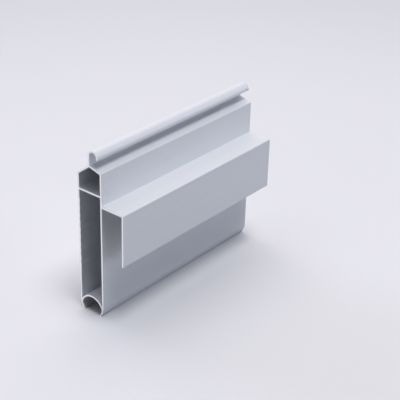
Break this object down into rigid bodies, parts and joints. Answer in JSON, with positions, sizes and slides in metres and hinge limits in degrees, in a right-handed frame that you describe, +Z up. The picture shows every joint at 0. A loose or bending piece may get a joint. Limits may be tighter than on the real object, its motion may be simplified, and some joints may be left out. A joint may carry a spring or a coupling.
{
  "type": "roller shutter slat",
  "caption": "Cut length of hollow roller shutter slat with a curled hook along its top, a round socket under it, a fluted back and a flange with a hanging leg on the front.",
  "frame": {"origin": "on the floor under the toes, at the middle of the length and of the whole depth with the flange", "axes": "+X along the length, +Y towards the fluted back face, +Z up towards the hook"},
  "size_m": [0.148, 0.0378, 0.1166],
  "materials": {
    "coat": "satin white powder coat"
  },
  "bodies": {
    "root": {"slat": "coat"}
  },
  "joints": []
}
